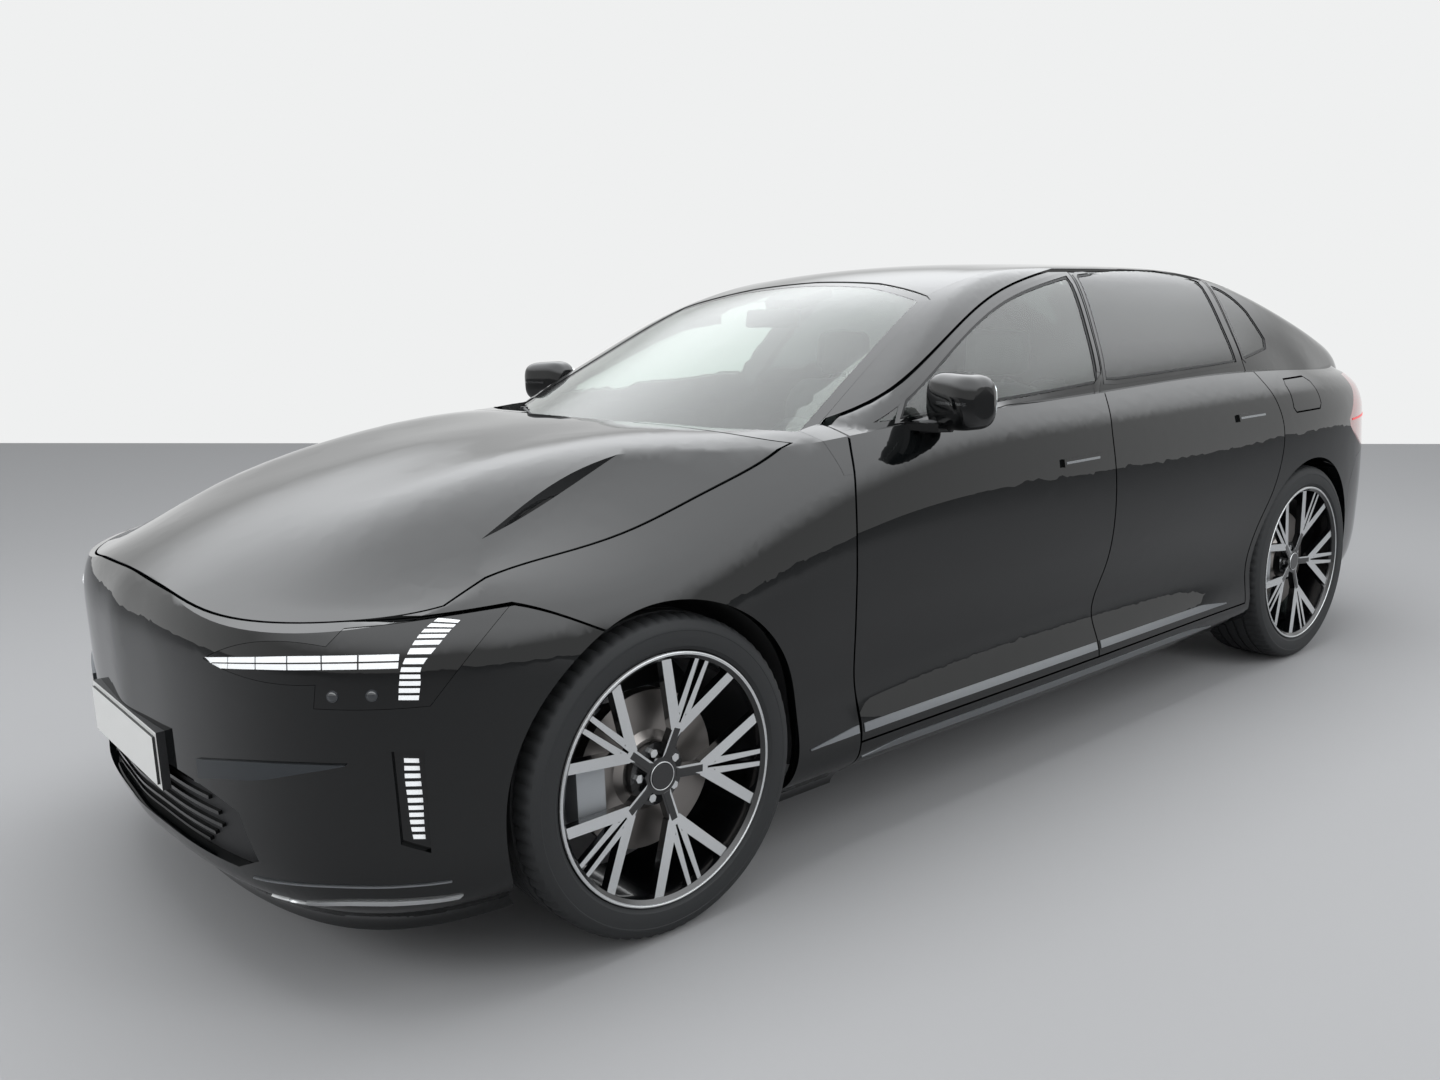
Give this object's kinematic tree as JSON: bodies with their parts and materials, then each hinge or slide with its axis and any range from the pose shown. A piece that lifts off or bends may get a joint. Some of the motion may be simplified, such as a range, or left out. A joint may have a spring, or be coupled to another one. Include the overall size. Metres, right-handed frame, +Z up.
{
  "type": "electric saloon car",
  "caption": "Large five-door electric fastback saloon: hinged doors, bonnet, tailgate and charge flap, steered front wheels, full cabin.",
  "frame": {"origin": "centre of the bounding box in plan, on the ground under the wheels", "axes": "+X to the car's left side, +Y to the tail, +Z up; the nose points along -Y"},
  "size_m": [2.1924, 5.0006, 1.5473],
  "materials": {
    "paint": "gloss",
    "glass": "gloss",
    "privacy_glass": "gloss",
    "gloss_trim": "gloss",
    "trim": "matte",
    "lamp": "gloss",
    "tail_lamp": "gloss",
    "tyre": "matte",
    "alloy": "satin",
    "disc": "satin",
    "steel": "satin",
    "upholstery": "matte",
    "plate": "matte",
    "battery": "satin"
  },
  "bodies": {
    "body": {"body_side_left": "paint", "body_side_right": "paint", "quarter_glass": "privacy_glass", "tail_lamps": "tail_lamp", "front_bumper": "paint", "rear_bumper": "paint", "grille": "gloss_trim", "fender_left": "paint", "fender_right": "paint", "headlamp_left": "lamp", "headlamp_right": "lamp", "windscreen": "glass", "roof": "gloss_trim", "floor_pan": "steel", "front_structure": "steel", "wheel_liners": "trim", "front_seats": "upholstery", "rear_bench": "upholstery", "dashboard": "trim", "front_plate": "plate", "wipers": "trim", "battery_pack": "battery", "front_suspension": "steel", "rear_suspension": "steel"},
    "door_front_left": {"door_front_left": "paint", "door_glass_front_left": "glass", "mirror_left": "paint"},
    "door_front_right": {"door_front_right": "paint", "door_glass_front_right": "glass", "mirror_right": "paint"},
    "door_rear_left": {"door_rear_left": "paint", "door_glass_rear_left": "privacy_glass"},
    "door_rear_right": {"door_rear_right": "paint", "door_glass_rear_right": "privacy_glass"},
    "bonnet": {"bonnet": "paint"},
    "tailgate": {"tailgate": "paint", "rear_screen": "privacy_glass"},
    "charge_flap": {"charge_flap": "paint"},
    "knuckle_left": {"knuckle_left": "disc"},
    "knuckle_right": {"knuckle_right": "disc"},
    "steering_wheel": {"steering_wheel": "trim"},
    "wheel_front_left": {"rim_front_left": "alloy", "tyre_front_left": "tyre", "brake_disc_front_left": "disc"},
    "wheel_front_right": {"rim_front_right": "alloy", "tyre_front_right": "tyre", "brake_disc_front_right": "disc"},
    "wheel_rear_left": {"rim_rear_left": "alloy", "tyre_rear_left": "tyre", "brake_disc_rear_left": "disc"},
    "wheel_rear_right": {"rim_rear_right": "alloy", "tyre_rear_right": "tyre", "brake_disc_rear_right": "disc"}
  },
  "joints": [
    {"name": "door_front_left_hinge", "type": "hinge", "parent": "body", "child": "door_front_left", "pos_m": [0.966, -0.992, 0.7], "axis": [0, 0, -1], "range_deg": [0, 68]},
    {"name": "door_rear_left_hinge", "type": "hinge", "parent": "body", "child": "door_rear_left", "pos_m": [0.972, 0.135, 0.7], "axis": [0, 0, -1], "range_deg": [0, 68]},
    {"name": "door_front_right_hinge", "type": "hinge", "parent": "body", "child": "door_front_right", "pos_m": [-0.966, -0.992, 0.7], "axis": [0, 0, 1], "range_deg": [0, 68]},
    {"name": "door_rear_right_hinge", "type": "hinge", "parent": "body", "child": "door_rear_right", "pos_m": [-0.972, 0.135, 0.7], "axis": [0, 0, 1], "range_deg": [0, 68]},
    {"name": "bonnet_hinge", "type": "hinge", "parent": "body", "child": "bonnet", "pos_m": [0, -1.084, 1.078], "axis": [-1, 0, 0], "range_deg": [0, 55]},
    {"name": "tailgate_hinge", "type": "hinge", "parent": "body", "child": "tailgate", "pos_m": [0, 0.988, 1.541], "axis": [1, 0, 0], "range_deg": [0, 70]},
    {"name": "charge_flap_hinge", "type": "hinge", "parent": "body", "child": "charge_flap", "pos_m": [0.9, 1.456, 1.09], "axis": [0, -1, 0], "range_deg": [0, 85]},
    {"name": "steer_left", "type": "hinge", "parent": "body", "child": "knuckle_left", "pos_m": [0.77, -1.6, 0.3775], "axis": [0, 0, 1], "range_deg": [-32, 32]},
    {"name": "steer_right", "type": "hinge", "parent": "body", "child": "knuckle_right", "pos_m": [-0.77, -1.6, 0.3775], "axis": [0, 0, 1], "range_deg": [-32, 32]},
    {"name": "steering_wheel_turn", "type": "hinge", "parent": "body", "child": "steering_wheel", "pos_m": [0.37, -0.56, 0.905], "axis": [0, 0.9063, 0.4226], "range_deg": [-440, 440]},
    {"name": "wheel_front_left_spin", "type": "hinge", "parent": "knuckle_left", "child": "wheel_front_left", "pos_m": [0.83, -1.6, 0.3775], "axis": [1, 0, 0], "continuous": true},
    {"name": "wheel_front_right_spin", "type": "hinge", "parent": "knuckle_right", "child": "wheel_front_right", "pos_m": [-0.83, -1.6, 0.3775], "axis": [-1, 0, 0], "continuous": true},
    {"name": "wheel_rear_left_spin", "type": "hinge", "parent": "body", "child": "wheel_rear_left", "pos_m": [0.83, 1.502, 0.3775], "axis": [1, 0, 0], "continuous": true},
    {"name": "wheel_rear_right_spin", "type": "hinge", "parent": "body", "child": "wheel_rear_right", "pos_m": [-0.83, 1.502, 0.3775], "axis": [-1, 0, 0], "continuous": true}
  ],
  "couplings": [
    {"joint": "steer_right", "follows": "steer_left", "ratio": 1},
    {"joint": "steering_wheel_turn", "follows": "steer_left", "ratio": 13.5}
  ]
}
